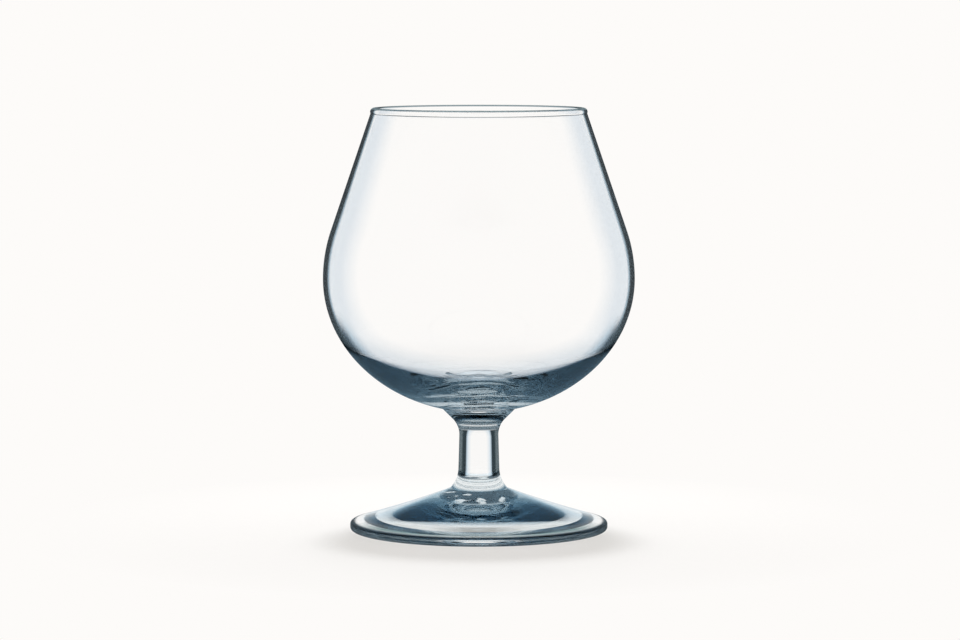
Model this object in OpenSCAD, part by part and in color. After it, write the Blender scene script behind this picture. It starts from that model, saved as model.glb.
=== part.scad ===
// Brandy snifter in clear glass, 27 cl to the brim: a blown bowl on a short stem and a spread foot.
// Millimetres, +Z up. The origin is the middle of the foot, on the plane that the glass stands on.
// Each piece is one half outline turned about the axis, drawn as [distance from the axis, height].

/* [Bowl] */
// Outer diameter of the bowl at its widest line
bowl_w = 82; // [74:0.5:92]
// Depth from the widest line down to the lowest point of the rounded underside
belly_depth = 35.2; // [30:0.2:46]
// Height from the widest line up to the top of the rim
wall_rise = 44.9; // [38:0.1:54]
// Outer diameter of the mouth, over the rim bead
rim_w = 57; // [50:0.5:64]
// Outer radius of the curve that turns the belly into the straight wall
shoulder_r = 39.3; // [34:0.1:42]
// Thickness of the blown wall
wall = 1.5; // [1.2:0.1:2.2]
// Thickness of the bottom on the axis, above the weld seat
base_t = 2.6; // [2:0.1:5]
// Height over the lowest point of the underside, below which the wall thickens towards the axis
thick_h = 18.7; // [14:0.1:24]
// How much thicker the fire-polished rim bead is than the wall
bead_swell = 0.55; // [0.3:0.05:1]

/* [Collar] */
// Diameter of the collar where it is fused to the bowl
collar_w = 19.5; // [18:0.1:24]
// Radius of the hollow flare that rises from the stem
flare_r = 6; // [4:0.1:8]
// Steepest lean of the flare, from the axis
flare_angle = 45; // [40:1:50]

/* [Stem] */
// Length of the stem between the foot and the collar
stem_l = 8.7; // [6:0.1:40]
// Diameter of the stem under the collar
stem_top_w = 10.3; // [8:0.1:12]
// Diameter of the stem on the foot
stem_foot_w = 10.8; // [8:0.1:13]

/* [Foot] */
// Outer diameter of the foot
foot_w = 68; // [60:0.5:80]
// Height of the foot with the neck that carries the stem
foot_h = 16.4; // [14.5:0.1:20]
// Height of the edge where the neck meets the sloping top
crown_h = 10.9; // [9:0.1:12]
// Diameter of the edge where the neck meets the sloping top
crown_w = 15.3; // [14:0.1:18]
// Thickness of the foot at its outer edge
lip_t = 2.3; // [2:0.1:3]
// Rounding of the outer edge
edge_r = 0.8; // [0.5:0.05:0.95]
// How far the sloping top hollows below a straight cone
top_sag = 0.3; // [0.1:0.05:0.8]
// Width of the flat ring that the foot stands on
ring_w = 1.1; // [0.6:0.1:2.5]
// Width of the slope that rises from that ring to the step
slope_w = 2.4; // [1.5:0.1:4]
// Width of the flat step round the hollow
step_w = 3.2; // [1.5:0.1:5]
// Height of the step over the ring
step_h = 0.7; // [0.4:0.05:1.2]
// Height of the hollow on the axis
hollow_h = 4.7; // [3.5:0.1:6.5]

/* [Hidden] */
// Largest turn of an arc between two of its points
arc_step = 3;
// Points nearer than this are taken as one
point_gap = 0.002;
$fn = 128;
clear_glass = [0.8, 0.87, 0.92, 0.5];

// The underside is half an ellipse, cut flat over the collar to make the weld seat
seat_rise = belly_depth*(1 - sqrt(1 - pow(collar_w/bowl_w, 2)));
// Height of the widest line over the weld seat
belly_z = belly_depth - seat_rise;
// Thickness of the bottom on the axis, from the whole half ellipse
axis_t = base_t + seat_rise;
// Share of the belly's depth down to which the wall keeps its thickness
thin_share = 1 - thick_h/belly_depth;

bead_d = wall + bead_swell;
bead_c = [(rim_w - bead_d)/2, belly_z + wall_rise - bead_d/2];
shoulder_c = [bowl_w/2 - shoulder_r, belly_z];
// Lean of the straight wall, whose middle line is tangent to the shoulder and ends in the bead
to_bead = bead_c - shoulder_c;
wall_lean = atan2(to_bead.y, to_bead.x) - acos((shoulder_r - wall/2)/norm(to_bead));
// Turn by which the bead runs past its own half on each face of the wall
bead_bite = acos(wall/bead_d);

// Rise of the flare's straight upper part, then of the whole collar
flare_run = flare_r*(1 - cos(flare_angle));
collar_h = flare_r*sin(flare_angle) + (collar_w/2 - stem_top_w/2 - flare_run)/tan(flare_angle);

stem_z = foot_h;
collar_z = stem_z + stem_l;
bowl_z = collar_z + collar_h;

// Points along a round stretch about c, from angle a1 to angle a2
function arc(c, r, a1, a2) = let (n = max(2, ceil(abs(a2 - a1)/arc_step)))
  [for (i = [0:n]) let (a = a1 + (a2 - a1)*i/n) c + r*[cos(a), sin(a)]];

// Points along the flat arc from p to q that sags to the left of the straight way by the given depth
function sagged(p, q, sag) = let (
    way = q - p,
    r = (way*way/4 + sag*sag)/(2*sag),
    c = (p + q)/2 + (r - sag)*[way.y, -way.x]/norm(way)
  ) arc(c, r, atan2(p.y - c.y, p.x - c.x), atan2(q.y - c.y, q.x - c.x));

// Points along the round dome that rises from half width w at height z to height h above it on the axis
function dome(w, h, z) = let (r = (w*w + h*h)/(2*h)) arc([0, z + h - r], r, 90, asin((r - h)/r));

// Points along the outside of the lower bowl, a quarter ellipse, from the weld seat up to its widest point
function outside_cup() = [for (p = arc([0, 0], 1, -acos(collar_w/bowl_w), 0))
  [p.x*bowl_w/2, belly_z + p.y*belly_depth]];

// Thickness of the lower bowl where its outside has gone down by the given share of the belly's depth:
// the wall's own at first, and then along half a cosine wave to that on the axis
function bottom_t(share) = let (way = max((share - thin_share)/(1 - thin_share), 0))
  wall + (axis_t - wall)*(1 - cos(180*way))/2;

// Points along the inside of the lower bowl, from its widest point down to the axis,
// each square to the outer ellipse by the thickness there
function inside_cup() = [for (p = arc([0, 0], 1, 0, -90)) let (
    outer = [p.x*bowl_w/2, p.y*belly_depth],
    normal = [outer.x/pow(bowl_w/2, 2), outer.y/pow(belly_depth, 2)]
  ) [0, belly_z] + outer - bottom_t(-p.y)*normal/norm(normal)];

// One outline from several stretches, without the points that repeat where two of them meet
function outline(stretches) = let (p = [for (s = stretches) each s])
  [for (i = [0:len(p) - 1]) if (i == 0 || norm(p[i] - p[max(i - 1, 0)]) > point_gap) p[i]];

module turned(z, points) {
  color(clear_glass) translate([0, 0, z]) rotate_extrude() polygon(points);
}

// Foot: a domed hollow with a flat step round it, a narrow ring that it stands on, a rounded edge,
// a sloping top and the neck
module foot() {
  neck_run = crown_w/2 - stem_foot_w/2;
  neck_rise = foot_h - crown_h;
  neck_r = (neck_run*neck_run + neck_rise*neck_rise)/(2*neck_run);
  neck_turn = asin(neck_rise/neck_r);
  edge_x = foot_w/2 - edge_r;
  ring_x = edge_x - ring_w;
  step_x = ring_x - slope_w;
  turned(0, outline([
    dome(step_x - step_w, hollow_h - step_h, step_h),
    [[step_x, step_h], [ring_x, 0]],
    arc([edge_x, edge_r], edge_r, -90, 0),
    arc([edge_x, lip_t - edge_r], edge_r, 0, 90),
    sagged([edge_x, lip_t], [crown_w/2, crown_h], top_sag),
    arc([stem_foot_w/2 + neck_r, foot_h], neck_r, 180 + neck_turn, 180),
    [[0, foot_h]]
  ]));
}

// Stem: a short drawn rod that narrows a little upwards
module stem() {
  turned(stem_z, [[0, 0], [stem_foot_w/2, 0], [stem_top_w/2, stem_l], [0, stem_l]]);
}

// Collar: the flare between stem and bowl, round at first and then straight up to the weld seat
module collar() {
  turned(collar_z, outline([
    [[0, 0]],
    arc([stem_top_w/2 + flare_r, 0], flare_r, 180, 180 - flare_angle),
    [[collar_w/2, collar_h], [0, collar_h]]
  ]));
}

// Bowl: the blown cup with its thick bottom, straight upper wall and rim bead
module bowl() {
  turned(bowl_z, outline([
    [[0, 0]],
    outside_cup(),
    arc(shoulder_c, shoulder_r, 0, wall_lean),
    arc(bead_c, bead_d/2, wall_lean - bead_bite, wall_lean + 180 + bead_bite),
    arc(shoulder_c, shoulder_r - wall, wall_lean, 0),
    inside_cup()
  ]));
}

foot();
stem();
collar();
bowl();
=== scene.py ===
import math

import bpy
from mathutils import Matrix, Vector

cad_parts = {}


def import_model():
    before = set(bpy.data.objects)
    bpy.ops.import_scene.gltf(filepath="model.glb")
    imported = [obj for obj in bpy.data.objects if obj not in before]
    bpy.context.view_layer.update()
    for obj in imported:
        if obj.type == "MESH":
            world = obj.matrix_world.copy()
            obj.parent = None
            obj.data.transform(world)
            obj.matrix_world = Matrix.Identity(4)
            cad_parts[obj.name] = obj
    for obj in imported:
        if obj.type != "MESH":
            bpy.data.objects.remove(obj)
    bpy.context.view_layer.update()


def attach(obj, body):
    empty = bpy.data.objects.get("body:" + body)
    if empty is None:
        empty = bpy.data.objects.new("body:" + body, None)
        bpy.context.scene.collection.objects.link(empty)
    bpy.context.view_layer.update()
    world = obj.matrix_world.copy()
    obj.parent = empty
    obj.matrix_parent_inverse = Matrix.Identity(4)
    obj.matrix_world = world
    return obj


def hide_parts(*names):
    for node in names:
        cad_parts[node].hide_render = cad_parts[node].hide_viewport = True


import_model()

# Sizes of the glass in millimetres, as in the construction
MM = 0.001
BOWL_W = 82
BELLY_DEPTH = 35.2
WALL_RISE = 44.9
RIM_W = 57
SHOULDER_R = 39.3
WALL = 1.5
BASE_T = 2.6
THICK_H = 18.7
BEAD_SWELL = 0.55
COLLAR_W = 19.5
FLARE_R = 6
FLARE_ANGLE = math.radians(45)
STEM_L = 8.7
STEM_TOP_W = 10.3
STEM_FOOT_W = 10.8
FOOT_W = 68
FOOT_H = 16.4
CROWN_H = 10.9
CROWN_W = 15.3
LIP_T = 2.3
EDGE_R = 0.8
TOP_SAG = 0.3
RING_W = 1.1
SLOPE_W = 2.4
STEP_W = 3.2
STEP_H = 0.7
HOLLOW_H = 4.7

# Heights and thicknesses that follow from them
FLARE_RUN = FLARE_R * (1 - math.cos(FLARE_ANGLE))
COLLAR_H = FLARE_R * math.sin(FLARE_ANGLE) + (
    COLLAR_W / 2 - STEM_TOP_W / 2 - FLARE_RUN
) / math.tan(FLARE_ANGLE)
COLLAR_Z = FOOT_H + STEM_L
BOWL_Z = COLLAR_Z + COLLAR_H
SEAT_RISE = BELLY_DEPTH * (1 - math.sqrt(1 - (COLLAR_W / BOWL_W) ** 2))
BELLY_Z = BOWL_Z + BELLY_DEPTH - SEAT_RISE
TOP_Z = BELLY_Z + WALL_RISE
AXIS_T = BASE_T + SEAT_RISE
THIN_SHARE = 1 - THICK_H / BELLY_DEPTH
EDGE_X = FOOT_W / 2 - EDGE_R

# Half the gap between two fused faces, so that light meets them one after the other
WELD_GAP = 0.003
# A face this level and this near the height of a seam is one of the fused faces
LEVEL = 0.999
SEAM_REACH = 0.1
# Points nearer than this are taken as one
POINT_GAP = 0.002
ARC_STEP = math.radians(1)
SAG_STEPS = 24
STEM_STEPS = 12
TURN_STEPS = 256
# Edges that turn by more than this stay crisp
CRISP = math.radians(8)

# Each zone of the glass fades in over a stretch, from nought at the first number to one at the
# second. Those with X are distances from the axis and those with Z are heights.
ROD_LOW_Z = (14.3, 14.7)
ROD_HIGH_Z = (27.0, 26.6)
FLARE_Z = (26.6, 27.0)
RING_LOW_Z = (26.7, 26.9)
RING_HIGH_Z = (29.4, 29.1)
# The painted highlight line within the ring's painted shade, and how much of that shade it takes
# away
PAINTED_HIGHLIGHT_LOW_Z = (27.8, 28)
PAINTED_HIGHLIGHT_HIGH_Z = (28.35, 28.2)
PAINTED_HIGHLIGHT_SHARE = 0.75
SLOPE_X = (32, 29)
SLOPE_LOW_Z = (LIP_T, LIP_T + 0.5)
SLOPE_HIGH_Z = (12, CROWN_H)
BAND_IN_X = (30.6, 31.4)
BAND_OUT_X = (33, 32.6)
HOLLOW_TOP_Z = CROWN_H - 1
HOLLOW_WAVY_X = (8.5, 7)
HOLLOW_SPECK_X = (8.5, 7.5)
FOOT_CALM_Z = (CROWN_H - 0.3, CROWN_H + 0.5)
FOOT_CALM_X = (24, 27)
FOOT_CALM_SHARE = 0.8
UNDERSIDE_Z = (54, 49)
FLANK_Z = (60, 52)
LOWEST_Z = (49, 46.5)
RIM_Z = (TOP_Z - 0.5, TOP_Z - 0.25)
BOTTOM_Z = (48, 42)
BOTTOM_WAVY_X = (20, 12)
BOTTOM_CALM_X = (16, 10)
BOTTOM_CALM_SHARE = 0.6

CLEAR = (1.0, 1.0, 1.0)
IOR = 1.52
# What a metre of the glass takes from the light
DENSITY = 5.0
BODY = (0.35, 0.48, 0.52)
# Share of the lamp's light that a surface lets through to the floor, where thin and where deep;
# the foot gathers light on the floor below it
SHADE = ((0.985, 0.984, 0.983), (0.74, 0.735, 0.725))
FOOT_SHADE = ((1.07, 1.068, 1.066), (1.2, 1.2, 1.2))

# Painted shade on the inside by slant, from square on at 0 to grazing at 1: light that turns within
# thick glass is painted darker and bluer at each turn
TRAPPED_PAINTED_SHADE = (
    (0.24, CLEAR),
    (0.3, (0.73, 0.78, 0.81)),
    (0.5, (0.73, 0.78, 0.81)),
    (0.64, (0.93, 0.945, 0.955)),
)
COLLAR_TRAPPED_PAINTED_SHADE = ((0.24, CLEAR), (0.3, (0.9, 0.92, 0.93)))
FOOT_TRAPPED_PAINTED_SHADE = (
    (0.24, CLEAR),
    (0.3, (0.47, 0.58, 0.65)),
    (0.55, (0.47, 0.58, 0.65)),
    (0.72, CLEAR),
)

# Painted shade where light meets the glass from outside: dark edges by slant, or plain
# Painted dark bands along the sides of the rod
ROD_PAINTED_SHADE = (
    (0.08, CLEAR),
    (0.17, (0.74, 0.83, 0.9)),
    (0.21, (0.45, 0.56, 0.65)),
    (0.25, (0.03, 0.045, 0.055)),
    (0.4, (0.04, 0.06, 0.07)),
    (0.5, (0.14, 0.18, 0.2)),
)
# Painted shade at the slant of the collar
COLLAR_PAINTED_SHADE = ((0.3, CLEAR), (0.9, (0.7, 0.78, 0.83)))
# Painted dark ring on the collar
RING_PAINTED_SHADE = (0.22, 0.28, 0.32)
# A faint blue tint of the foot's glass, and painted shade where it is seen at a graze
FOOT_TINT_AND_PAINTED_SHADE = ((0.88, (0.95, 0.985, 1.0)), (0.99, (0.6, 0.68, 0.73)))
# Painted dark lip at the foot's outer edge
LIP_PAINTED_SHADE = ((0.02, CLEAR), (0.07, (0.2, 0.25, 0.28)), (0.9, (0.13, 0.17, 0.2)))
# Painted dark teal band round the foot's outer slope
BAND_PAINTED_SHADE = (
    (0.57, (0.85, 0.9, 0.91)),
    (0.62, (0.2, 0.32, 0.34)),
    (0.7, (0.2, 0.32, 0.34)),
    (0.82, CLEAR),
)
# Painted dark outline at the bowl's sides
BOWL_PAINTED_EDGE_SHADE = (
    (0.38, CLEAR),
    (0.56, (0.92, 0.94, 0.96)),
    (0.7, (0.94, 0.96, 0.97)),
    (0.735, (0.34, 0.45, 0.53)),
    (0.77, (0.06, 0.075, 0.085)),
)
# Painted bluish shade on the inside of the bowl's walls at a slant
BOWL_INSIDE_PAINTED_SHADE = (
    (0.4, CLEAR),
    (0.6, (0.84, 0.885, 0.925)),
    (0.9, (0.8, 0.86, 0.915)),
)
# Painted dark shade on the flanks of the thick bottom
BOWL_FLANK_PAINTED_SHADE = (
    (0.52, CLEAR),
    (0.62, (0.6, 0.7, 0.77)),
    (0.7, (0.12, 0.165, 0.2)),
    (0.8, (0.06, 0.085, 0.1)),
)
# Painted shade on the lowest outside of the bowl
BOWL_UNDER_PAINTED_SHADE = ((0.5, CLEAR), (0.9, (0.8, 0.88, 0.93)))
# Painted dark lines at the rim
RIM_PAINTED_SHADE = ((0.1, (0.3, 0.38, 0.42)), (0.9, (0.2, 0.27, 0.3)))

# Painted darker reflections on deep glass, by slant or plain
PAINTED_DARK_REFLECTION = (0.13, 0.2, 0.25)
FOOT_PAINTED_REFLECTION = ((0.72, (0.12, 0.19, 0.24)), (0.82, (0.45, 0.62, 0.75)), (0.9, (0.93, 0.97, 1.0)))

# Slight waves in the middle of foot and bowl: their texture, its settings and their height in
# metres; and the painted dark specks and painted highlights in the middle of the foot, by its waves
FOOT_WAVES = ("Noise", (("Scale", 330), ("Detail", 1)), 0.0006)
BOWL_WAVES = ("Wave", (("Scale", 60), ("Distortion", 3), ("Detail", 1)), 0.0002)
PAINTED_SPECKS = ((0.55, (0.1, 0.15, 0.19)), (0.63, (0.85, 0.9, 0.93)))

# The background's colour, and the strength of the world's even light on the floor
PALE = (0.982, 0.965, 0.947)
FILL = 0.2
FLOOR_COLOUR = (0.9, 0.885, 0.87)
# Just under the standing ring, so that the two don't share a plane
FLOOR_Z = -0.00002
FLOOR_SIZE = 3.0
# Distances from the axis over which the lit floor turns into the background
LIT_REACH = (0.05, 0.12)
LAMP_AT = Vector((0.0, 0.5, 1.2))
LAMP_SIZE = 0.3
LAMP_WATTS = 16.8
CAMERA_AT = (0.0003, -1.0026, 0.13998)
CAMERA_LENS = 143.28
# How far the camera looks down from level
CAMERA_DIP = 4.82
# Turns of light within the glass
BOUNCES = 64


def arc(centre, radius, a1, a2, count=None):
    """Points along a round stretch about centre, from angle a1 to angle a2."""
    count = count or max(2, math.ceil(abs(a2 - a1) / ARC_STEP))
    angles = [a1 + (a2 - a1) * i / count for i in range(count + 1)]
    return [
        (centre[0] + radius * math.cos(a), centre[1] + radius * math.sin(a))
        for a in angles
    ]


def sagged(p, q, sag):
    """Points along the flat arc from p to q that sags to the left of the straight way."""
    way = (q[0] - p[0], q[1] - p[1])
    length = math.hypot(*way)
    radius = (length * length / 4 + sag * sag) / (2 * sag)
    reach = (radius - sag) / length
    c = (
        (p[0] + q[0]) / 2 + reach * way[1],
        (p[1] + q[1]) / 2 - reach * way[0],
    )
    a1 = math.atan2(p[1] - c[1], p[0] - c[0])
    a2 = math.atan2(q[1] - c[1], q[0] - c[0])
    return arc(c, radius, a1, a2, SAG_STEPS)


def dome(w, h, z):
    """Points along the dome that rises from half width w at height z to height h above it."""
    radius = (w * w + h * h) / (2 * h)
    return arc((0, z + h - radius), radius, math.pi / 2, math.asin((radius - h) / radius))


def outside_cup():
    """Points along the outside of the lower bowl, from the weld seat up to its widest point."""
    quarter = arc((0, 0), 1, -math.acos(COLLAR_W / BOWL_W), 0)
    return [(x * BOWL_W / 2, BELLY_Z + y * BELLY_DEPTH) for x, y in quarter]


def bottom_t(share):
    """Thickness of the lower bowl where its outside has gone down by that share of the depth."""
    way = max((share - THIN_SHARE) / (1 - THIN_SHARE), 0)
    return WALL + (AXIS_T - WALL) * (1 - math.cos(math.pi * way)) / 2


def inside_cup():
    """Points along the inside of the lower bowl, square to the outside by the thickness there."""
    points = []
    for x, y in arc((0, 0), 1, 0, -math.pi / 2):
        outer = Vector((x * BOWL_W / 2, y * BELLY_DEPTH))
        normal = Vector((outer.x / (BOWL_W / 2) ** 2, outer.y / BELLY_DEPTH**2)).normalized()
        inner = outer - bottom_t(-y) * normal
        points.append((inner.x, BELLY_Z + inner.y))
    return points


def outline(*stretches):
    """One outline from several stretches, without the points that repeat."""
    points = []
    for x, z in (p for stretch in stretches for p in stretch):
        if not points or math.dist(points[-1], (x, z)) > POINT_GAP:
            points.append((max(x, 0.0), z))
    return points


def foot_outline():
    run = CROWN_W / 2 - STEM_FOOT_W / 2
    rise = FOOT_H - CROWN_H
    neck_r = (run * run + rise * rise) / (2 * run)
    turn = math.asin(rise / neck_r)
    ring_x = EDGE_X - RING_W
    step_x = ring_x - SLOPE_W
    neck = arc((STEM_FOOT_W / 2 + neck_r, FOOT_H), neck_r, math.pi + turn, math.pi)
    return outline(
        dome(step_x - STEP_W, HOLLOW_H - STEP_H, STEP_H),
        [(step_x, STEP_H), (ring_x, 0)],
        arc((EDGE_X, EDGE_R), EDGE_R, -math.pi / 2, 0),
        arc((EDGE_X, LIP_T - EDGE_R), EDGE_R, 0, math.pi / 2),
        sagged((EDGE_X, LIP_T), (CROWN_W / 2, CROWN_H), TOP_SAG),
        neck[:-1],
        [(STEM_FOOT_W / 2, FOOT_H - WELD_GAP), (0, FOOT_H - WELD_GAP)],
    )


def stem_outline():
    low, high = FOOT_H + WELD_GAP, COLLAR_Z - WELD_GAP
    side = [
        (
            (STEM_FOOT_W + (STEM_TOP_W - STEM_FOOT_W) * i / STEM_STEPS) / 2,
            low + (high - low) * i / STEM_STEPS,
        )
        for i in range(STEM_STEPS + 1)
    ]
    return [(0, low)] + side + [(0, high)]


def collar_outline():
    low, high = COLLAR_Z + WELD_GAP, BOWL_Z - WELD_GAP
    flare = arc((STEM_TOP_W / 2 + FLARE_R, COLLAR_Z), FLARE_R, math.pi, math.pi - FLARE_ANGLE)
    flare[0] = (flare[0][0], low)
    return outline([(0, low)], flare, [(COLLAR_W / 2, high), (0, high)])


def bowl_outline():
    bead_d = WALL + BEAD_SWELL
    bead = ((RIM_W - bead_d) / 2, TOP_Z - bead_d / 2)
    shoulder = (BOWL_W / 2 - SHOULDER_R, BELLY_Z)
    way = (bead[0] - shoulder[0], bead[1] - shoulder[1])
    lean = math.atan2(way[1], way[0]) - math.acos((SHOULDER_R - WALL / 2) / math.hypot(*way))
    bite = math.acos(WALL / bead_d)
    outer = outside_cup()
    outer[0] = (outer[0][0], BOWL_Z + WELD_GAP)
    return outline(
        [(0, BOWL_Z + WELD_GAP)],
        outer,
        arc(shoulder, SHOULDER_R, 0, lean),
        arc(bead, bead_d / 2, lean - bite, lean + math.pi + bite),
        arc(shoulder, SHOULDER_R - WALL, lean, 0),
        inside_cup(),
    )


def fade(value, start, end):
    """Nought at the start and one at the end, in a smooth step."""
    t = min(1.0, max(0.0, (value - start) / (end - start)))
    return t * t * (3 - 2 * t)


def between(value, low, high):
    """Nought on both sides, and one from the end of one stretch to the end of the other."""
    return fade(value, *low) * fade(value, *high)


def rod_share(x, z):
    """How far a point belongs to the straight rod between foot and collar."""
    return 0.0 if x < STEM_TOP_W / 4 else between(z, ROD_LOW_Z, ROD_HIGH_Z)


def foot_zones(x, z, inside):
    """The foot's parts that carry painted shade: the top of its neck, its slope, the clear parts
    and the outer edge, the band, and the middle of the hollow.
    """
    edge = float(x > EDGE_X - POINT_GAP)
    hollow = float(z < HOLLOW_TOP_Z)
    return {
        "rod": rod_share(x, z),
        "deep": fade(x, *SLOPE_X) * between(z, SLOPE_LOW_Z, SLOPE_HIGH_Z),
        "calm": max(fade(z, *FOOT_CALM_Z), FOOT_CALM_SHARE * fade(x, *FOOT_CALM_X), edge),
        "edge": edge,
        "band": float(z > LIP_T) * between(x, BAND_IN_X, BAND_OUT_X),
        "wavy": hollow * fade(x, *HOLLOW_WAVY_X),
        "painted_speck": hollow * fade(x, *HOLLOW_SPECK_X),
    }


def stem_zones(x, z, inside):
    return {"rod": rod_share(x, z)}


def collar_zones(x, z, inside):
    """The collar's parts: the end of the rod, the flare, and painted dark rings round a painted
    highlight line.
    """
    painted_highlight = PAINTED_HIGHLIGHT_SHARE * between(z, PAINTED_HIGHLIGHT_LOW_Z, PAINTED_HIGHLIGHT_HIGH_Z)
    return {
        "rod": rod_share(x, z),
        "deep": fade(z, *FLARE_Z),
        "ring": between(z, RING_LOW_Z, RING_HIGH_Z) * (1 - painted_highlight),
    }


def bowl_zones(x, z, inside):
    """The bowl's parts that carry painted shade: the inside of its walls, the outside of its thick
    bottom, and the rim.
    """
    outer = float(not inside)
    bottom = fade(z, *BOTTOM_Z)
    return {
        "inner": float(inside),
        "deep": outer * fade(z, *UNDERSIDE_Z),
        "flank": outer * fade(z, *FLANK_Z),
        "under": outer * fade(z, *LOWEST_Z),
        "rim": fade(z, *RIM_Z),
        "wavy": bottom * fade(x, *BOTTOM_WAVY_X),
        "calm": BOTTOM_CALM_SHARE * bottom * fade(x, *BOTTOM_CALM_X),
    }


def turned(name, points, seams, zones):
    """A closed mesh that turns the outline about the axis; its ends lie on the axis. It holds the
    share of each zone at every point, and marks the fused faces."""
    top = max(range(len(points)), key=lambda i: points[i][1])
    verts, rings, shares = [], [], {}
    for index, (x, z) in enumerate(points):
        count = 1 if x < POINT_GAP else TURN_STEPS
        for zone, share in zones(x, z, index > top).items():
            shares.setdefault(zone, []).extend([share] * count)
        if count == 1:
            rings.append([len(verts)] * TURN_STEPS)
            verts.append((0, 0, z * MM))
            continue
        rings.append(list(range(len(verts), len(verts) + TURN_STEPS)))
        for i in range(TURN_STEPS):
            a = 2 * math.pi * i / TURN_STEPS
            verts.append((x * MM * math.cos(a), x * MM * math.sin(a), z * MM))
    faces = []
    for low, high in zip(rings, rings[1:]):
        for i in range(TURN_STEPS):
            j = (i + 1) % TURN_STEPS
            corners = [low[i], low[j], high[j], high[i]]
            faces.append(tuple(dict.fromkeys(corners)))
    mesh = bpy.data.meshes.new(name)
    mesh.from_pydata(verts, [], faces)
    mesh.polygons.foreach_set("use_smooth", [True] * len(mesh.polygons))
    mesh.set_sharp_from_angle(angle=CRISP)
    marks = []
    for p in mesh.polygons:
        near = any(abs(p.center.z / MM - seam) < SEAM_REACH for seam in seams)
        marks.append(float(near and abs(p.normal.z) > LEVEL))
    mesh.attributes.new("weld", "FLOAT", "FACE").data.foreach_set("value", marks)
    for zone, values in shares.items():
        mesh.attributes.new(zone, "FLOAT", "POINT").data.foreach_set("value", values)
    mesh.validate()
    mesh.update()
    piece = bpy.data.objects.new(name, mesh)
    bpy.context.scene.collection.objects.link(piece)
    return piece


def maths(nt, operation, a, b):
    """One step of arithmetic on two sockets or numbers."""
    node = nt.nodes.new("ShaderNodeMath")
    node.operation = operation
    for slot, value in zip(node.inputs, (a, b)):
        if isinstance(value, (int, float)):
            slot.default_value = value
        else:
            nt.links.new(value, slot)
    return node.outputs[0]


def ramp(nt, value, stops):
    """A colour that follows the value through the given stops."""
    node = nt.nodes.new("ShaderNodeValToRGB")
    elements = node.color_ramp.elements
    while len(elements) < len(stops):
        elements.new(0.5)
    for element, (position, colour) in zip(elements, stops):
        element.position = position
        element.color = (*colour, 1)
    nt.links.new(value, node.inputs[0])
    return node.outputs[0]


def tinted(nt, facing, tint):
    """The tint as it is where it is plain, and by the slant where it has stops."""
    return ramp(nt, facing, tint) if isinstance(tint[0], tuple) else tint


def blend(nt, factor, a, b, way="MIX"):
    """The colour a, turned into b, or multiplied by it, as far as the factor says."""
    node = nt.nodes.new("ShaderNodeMix")
    node.data_type = "RGBA"
    node.blend_type = way
    nt.links.new(factor, node.inputs["Factor"])
    for slot, value in ((node.inputs[6], a), (node.inputs[7], b)):
        if isinstance(value, tuple):
            slot.default_value = (*value, 1)
        else:
            nt.links.new(value, slot)
    return node.outputs[2]


def marked(nt, zone):
    """The share that the mesh holds under this name."""
    node = nt.nodes.new("ShaderNodeAttribute")
    node.attribute_name = zone
    return node.outputs["Fac"]


def waves(nt, kind, settings, height):
    """The slight waves of hand-worked glass where the mesh marks them: normal and pattern."""
    coord = nt.nodes.new("ShaderNodeTexCoord")
    texture = nt.nodes.new("ShaderNodeTex" + kind)
    if kind == "Wave":
        texture.wave_type = "RINGS"
        texture.rings_direction = "Z"
    for socket, value in settings:
        texture.inputs[socket].default_value = value
    nt.links.new(coord.outputs["Object"], texture.inputs["Vector"])
    pattern = texture.outputs["Fac"]
    bump = nt.nodes.new("ShaderNodeBump")
    bump.inputs["Distance"].default_value = height
    nt.links.new(maths(nt, "MULTIPLY", pattern, marked(nt, "wavy")), bump.inputs["Height"])
    return bump.outputs[0], pattern


def shader(nt, kind, tint, normal=None):
    node = nt.nodes.new("ShaderNodeBsdf" + kind)
    for name, value in (("Roughness", 0.0), ("IOR", IOR)):
        if name in node.inputs:
            node.inputs[name].default_value = value
    if normal:
        nt.links.new(normal, node.inputs["Normal"])
    if isinstance(tint, tuple):
        node.inputs["Color"].default_value = (*tint, 1)
    else:
        nt.links.new(tint, node.inputs["Color"])
    return node.outputs[0]


def layered(nt, factor, a, b):
    """The shader a, turned into b as far as the factor says."""
    node = nt.nodes.new("ShaderNodeMixShader")
    for slot, value in zip(node.inputs, (factor, a, b)):
        nt.links.new(value, slot)
    return node.outputs[0]


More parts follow.
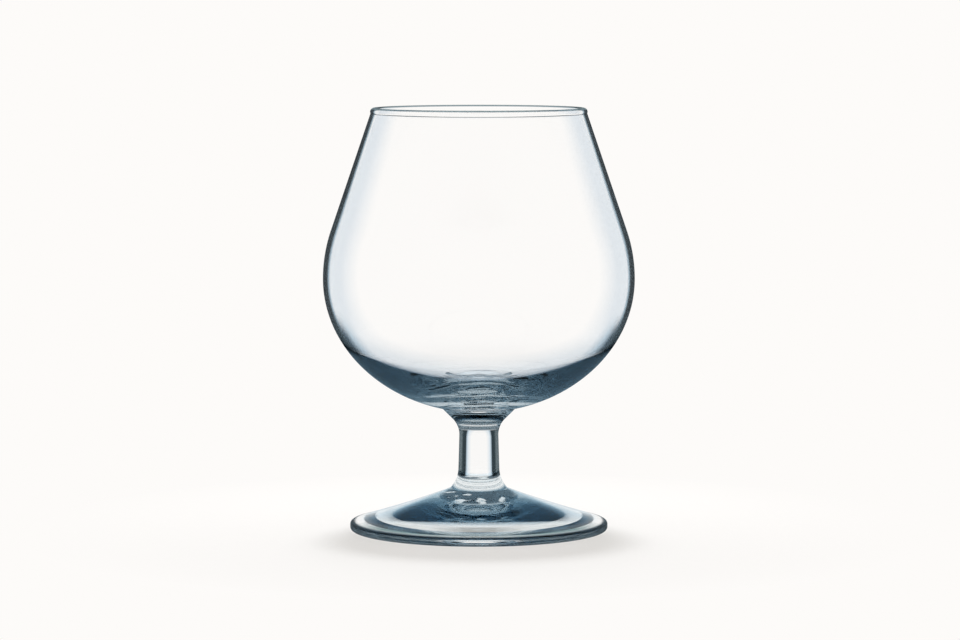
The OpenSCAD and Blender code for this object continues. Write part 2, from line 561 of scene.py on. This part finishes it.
def glass(name, outside, zones, gloss, inside, shade, wave=None, painted_specks=None):
    """Clear soda glass with painted light and shade. Its painted shade follows the slant at which
    light
    meets it: from outside, dark edges, with other painted shade for the zones that the mesh marks
    and painted darker reflections where the glass is deep, and from inside, where light that stays
    trapped in thick glass is painted darker at every turn."""
    mat = bpy.data.materials.new(name)
    mat.use_nodes = True
    nt = mat.node_tree
    nt.nodes.clear()
    out = nt.nodes.new("ShaderNodeOutputMaterial")
    slant = nt.nodes.new("ShaderNodeLayerWeight")
    slant.inputs["Blend"].default_value = 0.5
    facing = slant.outputs["Facing"]
    # Painted shade from outside: dark edges by slant, and the zones' own painted shade
    outside_painted_shade = ramp(nt, facing, outside)
    for zone, tint in zones:
        outside_painted_shade = blend(nt, marked(nt, zone), outside_painted_shade, tinted(nt, facing, tint))
    # Painted darker reflections where the glass is deep
    painted_reflection = blend(nt, marked(nt, "deep"), outside_painted_shade, tinted(nt, facing, gloss), "MULTIPLY")
    mirror = nt.nodes.new("ShaderNodeFresnel")
    mirror.inputs["IOR"].default_value = IOR
    # Painted shade inside, taken away where the mesh marks the glass calm
    inside_painted_shade = blend(nt, marked(nt, "calm"), ramp(nt, facing, inside), CLEAR)
    bump, pattern = waves(nt, *wave) if wave else (None, None)
    # Painted dark specks and painted highlights in the hollow of the foot
    if painted_specks:
        inside_painted_shade = blend(nt, marked(nt, "painted_speck"), inside_painted_shade, ramp(nt, pattern, painted_specks))
    bent = shader(nt, "Refraction", outside_painted_shade, bump)
    thrown_back = shader(nt, "Glossy", painted_reflection, bump)
    front = layered(nt, mirror.outputs[0], bent, thrown_back)
    back = shader(nt, "Glass", inside_painted_shade, bump)
    side = nt.nodes.new("ShaderNodeNewGeometry")
    body = layered(nt, side.outputs["Backfacing"], front, back)
    body = layered(nt, marked(nt, "weld"), body, shader(nt, "Transparent", CLEAR))
    veil = shader(nt, "Transparent", blend(nt, marked(nt, "deep"), *shade))
    path = nt.nodes.new("ShaderNodeLightPath")
    nt.links.new(layered(nt, path.outputs["Is Shadow Ray"], body, veil), out.inputs["Surface"])
    volume = nt.nodes.new("ShaderNodeVolumeAbsorption")
    volume.inputs["Color"].default_value = (*BODY, 1)
    volume.inputs["Density"].default_value = DENSITY
    nt.links.new(volume.outputs[0], out.inputs["Volume"])
    return mat


def seen(nt):
    """One for rays that come from the camera, also by way of glass and gloss, not off the floor."""
    path = nt.nodes.new("ShaderNodeLightPath").outputs
    direct = maths(nt, "MAXIMUM", path["Is Camera Ray"], path["Is Glossy Ray"])
    direct = maths(nt, "MAXIMUM", direct, path["Is Transmission Ray"])
    return maths(nt, "MULTIPLY", direct, maths(nt, "LESS_THAN", path["Diffuse Depth"], 0.5))


def world():
    """A pale studio all round: the background that is seen, also in the glass, and weak light."""
    w = bpy.data.worlds.new("studio")
    bpy.context.scene.world = w
    w.use_nodes = True
    nt = w.node_tree
    nt.nodes.clear()
    out = nt.nodes.new("ShaderNodeOutputWorld")
    light = nt.nodes.new("ShaderNodeBackground")
    light.inputs["Color"].default_value = (*PALE, 1)
    nt.links.new(maths(nt, "MAXIMUM", seen(nt), FILL), light.inputs["Strength"])
    nt.links.new(light.outputs[0], out.inputs["Surface"])


def floor():
    """A pale floor: lit and shaded round the glass, and the background's own colour further out."""
    s = FLOOR_SIZE
    mesh = bpy.data.meshes.new("floor")
    corners = [(-s, -s, FLOOR_Z), (s, -s, FLOOR_Z), (s, s, FLOOR_Z), (-s, s, FLOOR_Z)]
    mesh.from_pydata(corners, [], [(0, 1, 2, 3)])
    obj = bpy.data.objects.new("floor", mesh)
    bpy.context.scene.collection.objects.link(obj)
    mat = bpy.data.materials.new("floor")
    mat.use_nodes = True
    nt = mat.node_tree
    nt.nodes.clear()
    out = nt.nodes.new("ShaderNodeOutputMaterial")
    lit = nt.nodes.new("ShaderNodeBsdfDiffuse")
    lit.inputs["Color"].default_value = (*FLOOR_COLOUR, 1)
    pale = nt.nodes.new("ShaderNodeEmission")
    pale.inputs["Color"].default_value = (*PALE, 1)
    coord = nt.nodes.new("ShaderNodeTexCoord")
    length = nt.nodes.new("ShaderNodeVectorMath")
    length.operation = "LENGTH"
    nt.links.new(coord.outputs["Object"], length.inputs[0])
    reach = nt.nodes.new("ShaderNodeMapRange")
    reach.inputs["From Min"].default_value = LIT_REACH[0]
    reach.inputs["From Max"].default_value = LIT_REACH[1]
    nt.links.new(length.outputs["Value"], reach.inputs["Value"])
    far = maths(nt, "MULTIPLY", reach.outputs[0], seen(nt))
    nt.links.new(layered(nt, far, lit.outputs[0], pale.outputs[0]), out.inputs["Surface"])
    mesh.materials.append(mat)


def lamp():
    """One soft lamp from above and behind, which gloss and glass don't show."""
    data = bpy.data.lights.new("top_light", "AREA")
    data.shape = "DISK"
    data.size = LAMP_SIZE
    data.energy = LAMP_WATTS
    obj = bpy.data.objects.new("top_light", data)
    obj.location = LAMP_AT
    obj.rotation_euler = (-LAMP_AT).to_track_quat("-Z", "Y").to_euler()
    obj.visible_glossy = False
    obj.visible_transmission = False
    bpy.context.scene.collection.objects.link(obj)


def camera():
    data = bpy.data.cameras.new("camera")
    data.lens = CAMERA_LENS
    data.sensor_width = 36
    data.clip_end = 20
    obj = bpy.data.objects.new("camera", data)
    obj.location = CAMERA_AT
    obj.rotation_euler = (math.radians(90 - CAMERA_DIP), 0, 0)
    bpy.context.scene.collection.objects.link(obj)
    bpy.context.scene.camera = obj


camera()
world()
floor()
lamp()

foot_glass = glass(
    "foot_glass",
    outside=FOOT_TINT_AND_PAINTED_SHADE,
    zones=(("rod", ROD_PAINTED_SHADE), ("edge", LIP_PAINTED_SHADE), ("band", BAND_PAINTED_SHADE)),
    gloss=FOOT_PAINTED_REFLECTION,
    inside=FOOT_TRAPPED_PAINTED_SHADE,
    shade=FOOT_SHADE,
    wave=FOOT_WAVES,
    painted_specks=PAINTED_SPECKS,
)
stem_glass = glass(
    "stem_glass",
    outside=ROD_PAINTED_SHADE,
    zones=(),
    gloss=PAINTED_DARK_REFLECTION,
    inside=TRAPPED_PAINTED_SHADE,
    shade=SHADE,
)
collar_glass = glass(
    "collar_glass",
    outside=COLLAR_PAINTED_SHADE,
    zones=(("rod", ROD_PAINTED_SHADE), ("ring", RING_PAINTED_SHADE)),
    gloss=PAINTED_DARK_REFLECTION,
    inside=COLLAR_TRAPPED_PAINTED_SHADE,
    shade=SHADE,
)
bowl_glass = glass(
    "bowl_glass",
    outside=BOWL_PAINTED_EDGE_SHADE,
    zones=(("inner", BOWL_INSIDE_PAINTED_SHADE), ("flank", BOWL_FLANK_PAINTED_SHADE), ("under", BOWL_UNDER_PAINTED_SHADE), ("rim", RIM_PAINTED_SHADE)),
    gloss=PAINTED_DARK_REFLECTION,
    inside=TRAPPED_PAINTED_SHADE,
    shade=SHADE,
    wave=BOWL_WAVES,
)

for node, points, seams, zones, material in (
    ("foot", foot_outline(), (FOOT_H,), foot_zones, foot_glass),
    ("stem", stem_outline(), (FOOT_H, COLLAR_Z), stem_zones, stem_glass),
    ("collar", collar_outline(), (COLLAR_Z, BOWL_Z), collar_zones, collar_glass),
    ("bowl", bowl_outline(), (BOWL_Z,), bowl_zones, bowl_glass),
):
    piece = turned("snifter_" + node, points, seams, zones)
    piece.data.materials.append(material)
    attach(piece, "root")
    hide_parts(node)

scene = bpy.context.scene
scene.cycles.max_bounces = BOUNCES
scene.cycles.glossy_bounces = BOUNCES
scene.cycles.transmission_bounces = BOUNCES
scene.cycles.transparent_max_bounces = BOUNCES
scene.view_settings.view_transform = "Standard"
